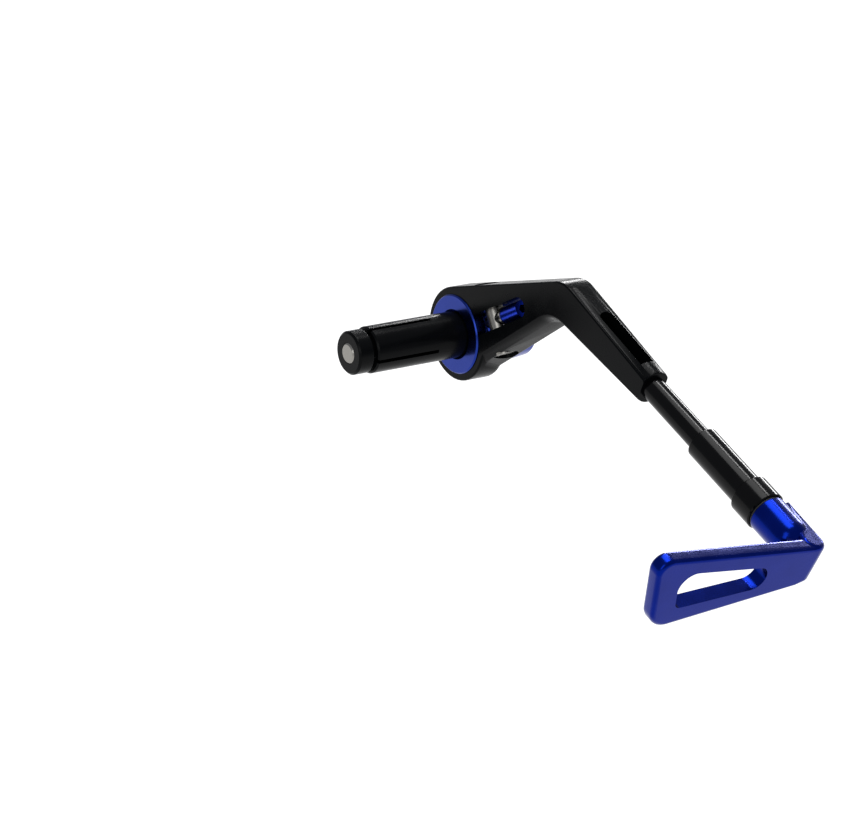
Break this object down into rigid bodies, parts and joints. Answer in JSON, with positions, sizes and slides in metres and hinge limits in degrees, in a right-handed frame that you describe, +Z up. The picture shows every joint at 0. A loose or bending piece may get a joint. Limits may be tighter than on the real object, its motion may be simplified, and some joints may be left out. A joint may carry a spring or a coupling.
{
  "type": "brake lever guard",
  "caption": "Handlebar-end guard for a brake lever: an expanding plug, a cranked arm that swivels on it, a telescopic tube and an L-shaped slotted blade.",
  "frame": {"origin": "on the handlebar's axis, at the arm's inner face, where the plug leaves the bar", "axes": "+X outward along the handlebar, -Y the reach from the bar past the lever, +Z up"},
  "size_m": [0.0935, 0.2263, 0.0635],
  "materials": {
    "blue_anodised": "satin blue anodised",
    "black_arm": "satin black anodised",
    "black_tube": "glossy black anodised",
    "black_plug": "satin black anodised",
    "zinc_steel": "zinc plated",
    "black_steel": "black oxide",
    "spring_steel": "plain spring wire",
    "black_rubber": "matt"
  },
  "bodies": {
    "bar_mount": {"plug_body": "black_plug", "pivot_bush": "blue_anodised", "end_cap": "blue_anodised", "bolt_washer": "zinc_steel"},
    "plug_bolt": {"plug_bolt": "zinc_steel"},
    "cone_nut": {"cone_nut": "black_plug"},
    "arm": {"arm": "black_arm", "cross_dowel": "zinc_steel", "lock_screw": "black_steel", "lock_washer": "zinc_steel", "lock_barrel": "blue_anodised", "tube_bolt": "zinc_steel", "tube_washer": "zinc_steel", "tube": "black_tube"},
    "sleeve": {"sleeve": "black_tube", "sleeve_ring": "black_rubber", "lock_collar": "black_tube", "collar_screw": "black_steel", "friction_ring": "black_rubber", "blade_clip": "spring_steel"},
    "blade": {"blade": "blue_anodised"}
  },
  "joints": [
    {"name": "bolt_turn", "type": "hinge", "parent": "bar_mount", "child": "plug_bolt", "pos_m": [0, 0, 0], "axis": [-1, 0, 0], "range_deg": [0, 345]},
    {"name": "cone_draw", "type": "slide", "parent": "bar_mount", "child": "cone_nut", "axis": [1, 0, 0], "range_m": [0, 0.0012]},
    {"name": "arm_swivel", "type": "hinge", "parent": "bar_mount", "child": "arm", "pos_m": [0, 0, 0], "axis": [1, 0, 0], "continuous": true},
    {"name": "reach_slide", "type": "slide", "parent": "arm", "child": "sleeve", "axis": [0, -0.9659, -0.2588], "range_m": [-0.012, 0.006]},
    {"name": "blade_turn", "type": "hinge", "parent": "sleeve", "child": "blade", "pos_m": [0.0055, -0.1124, 0.0244], "axis": [0, -0.9659, -0.2588], "continuous": true}
  ],
  "couplings": [
    {"joint": "cone_draw", "follows": "bolt_turn", "m_per_rad": 0.00019894}
  ]
}
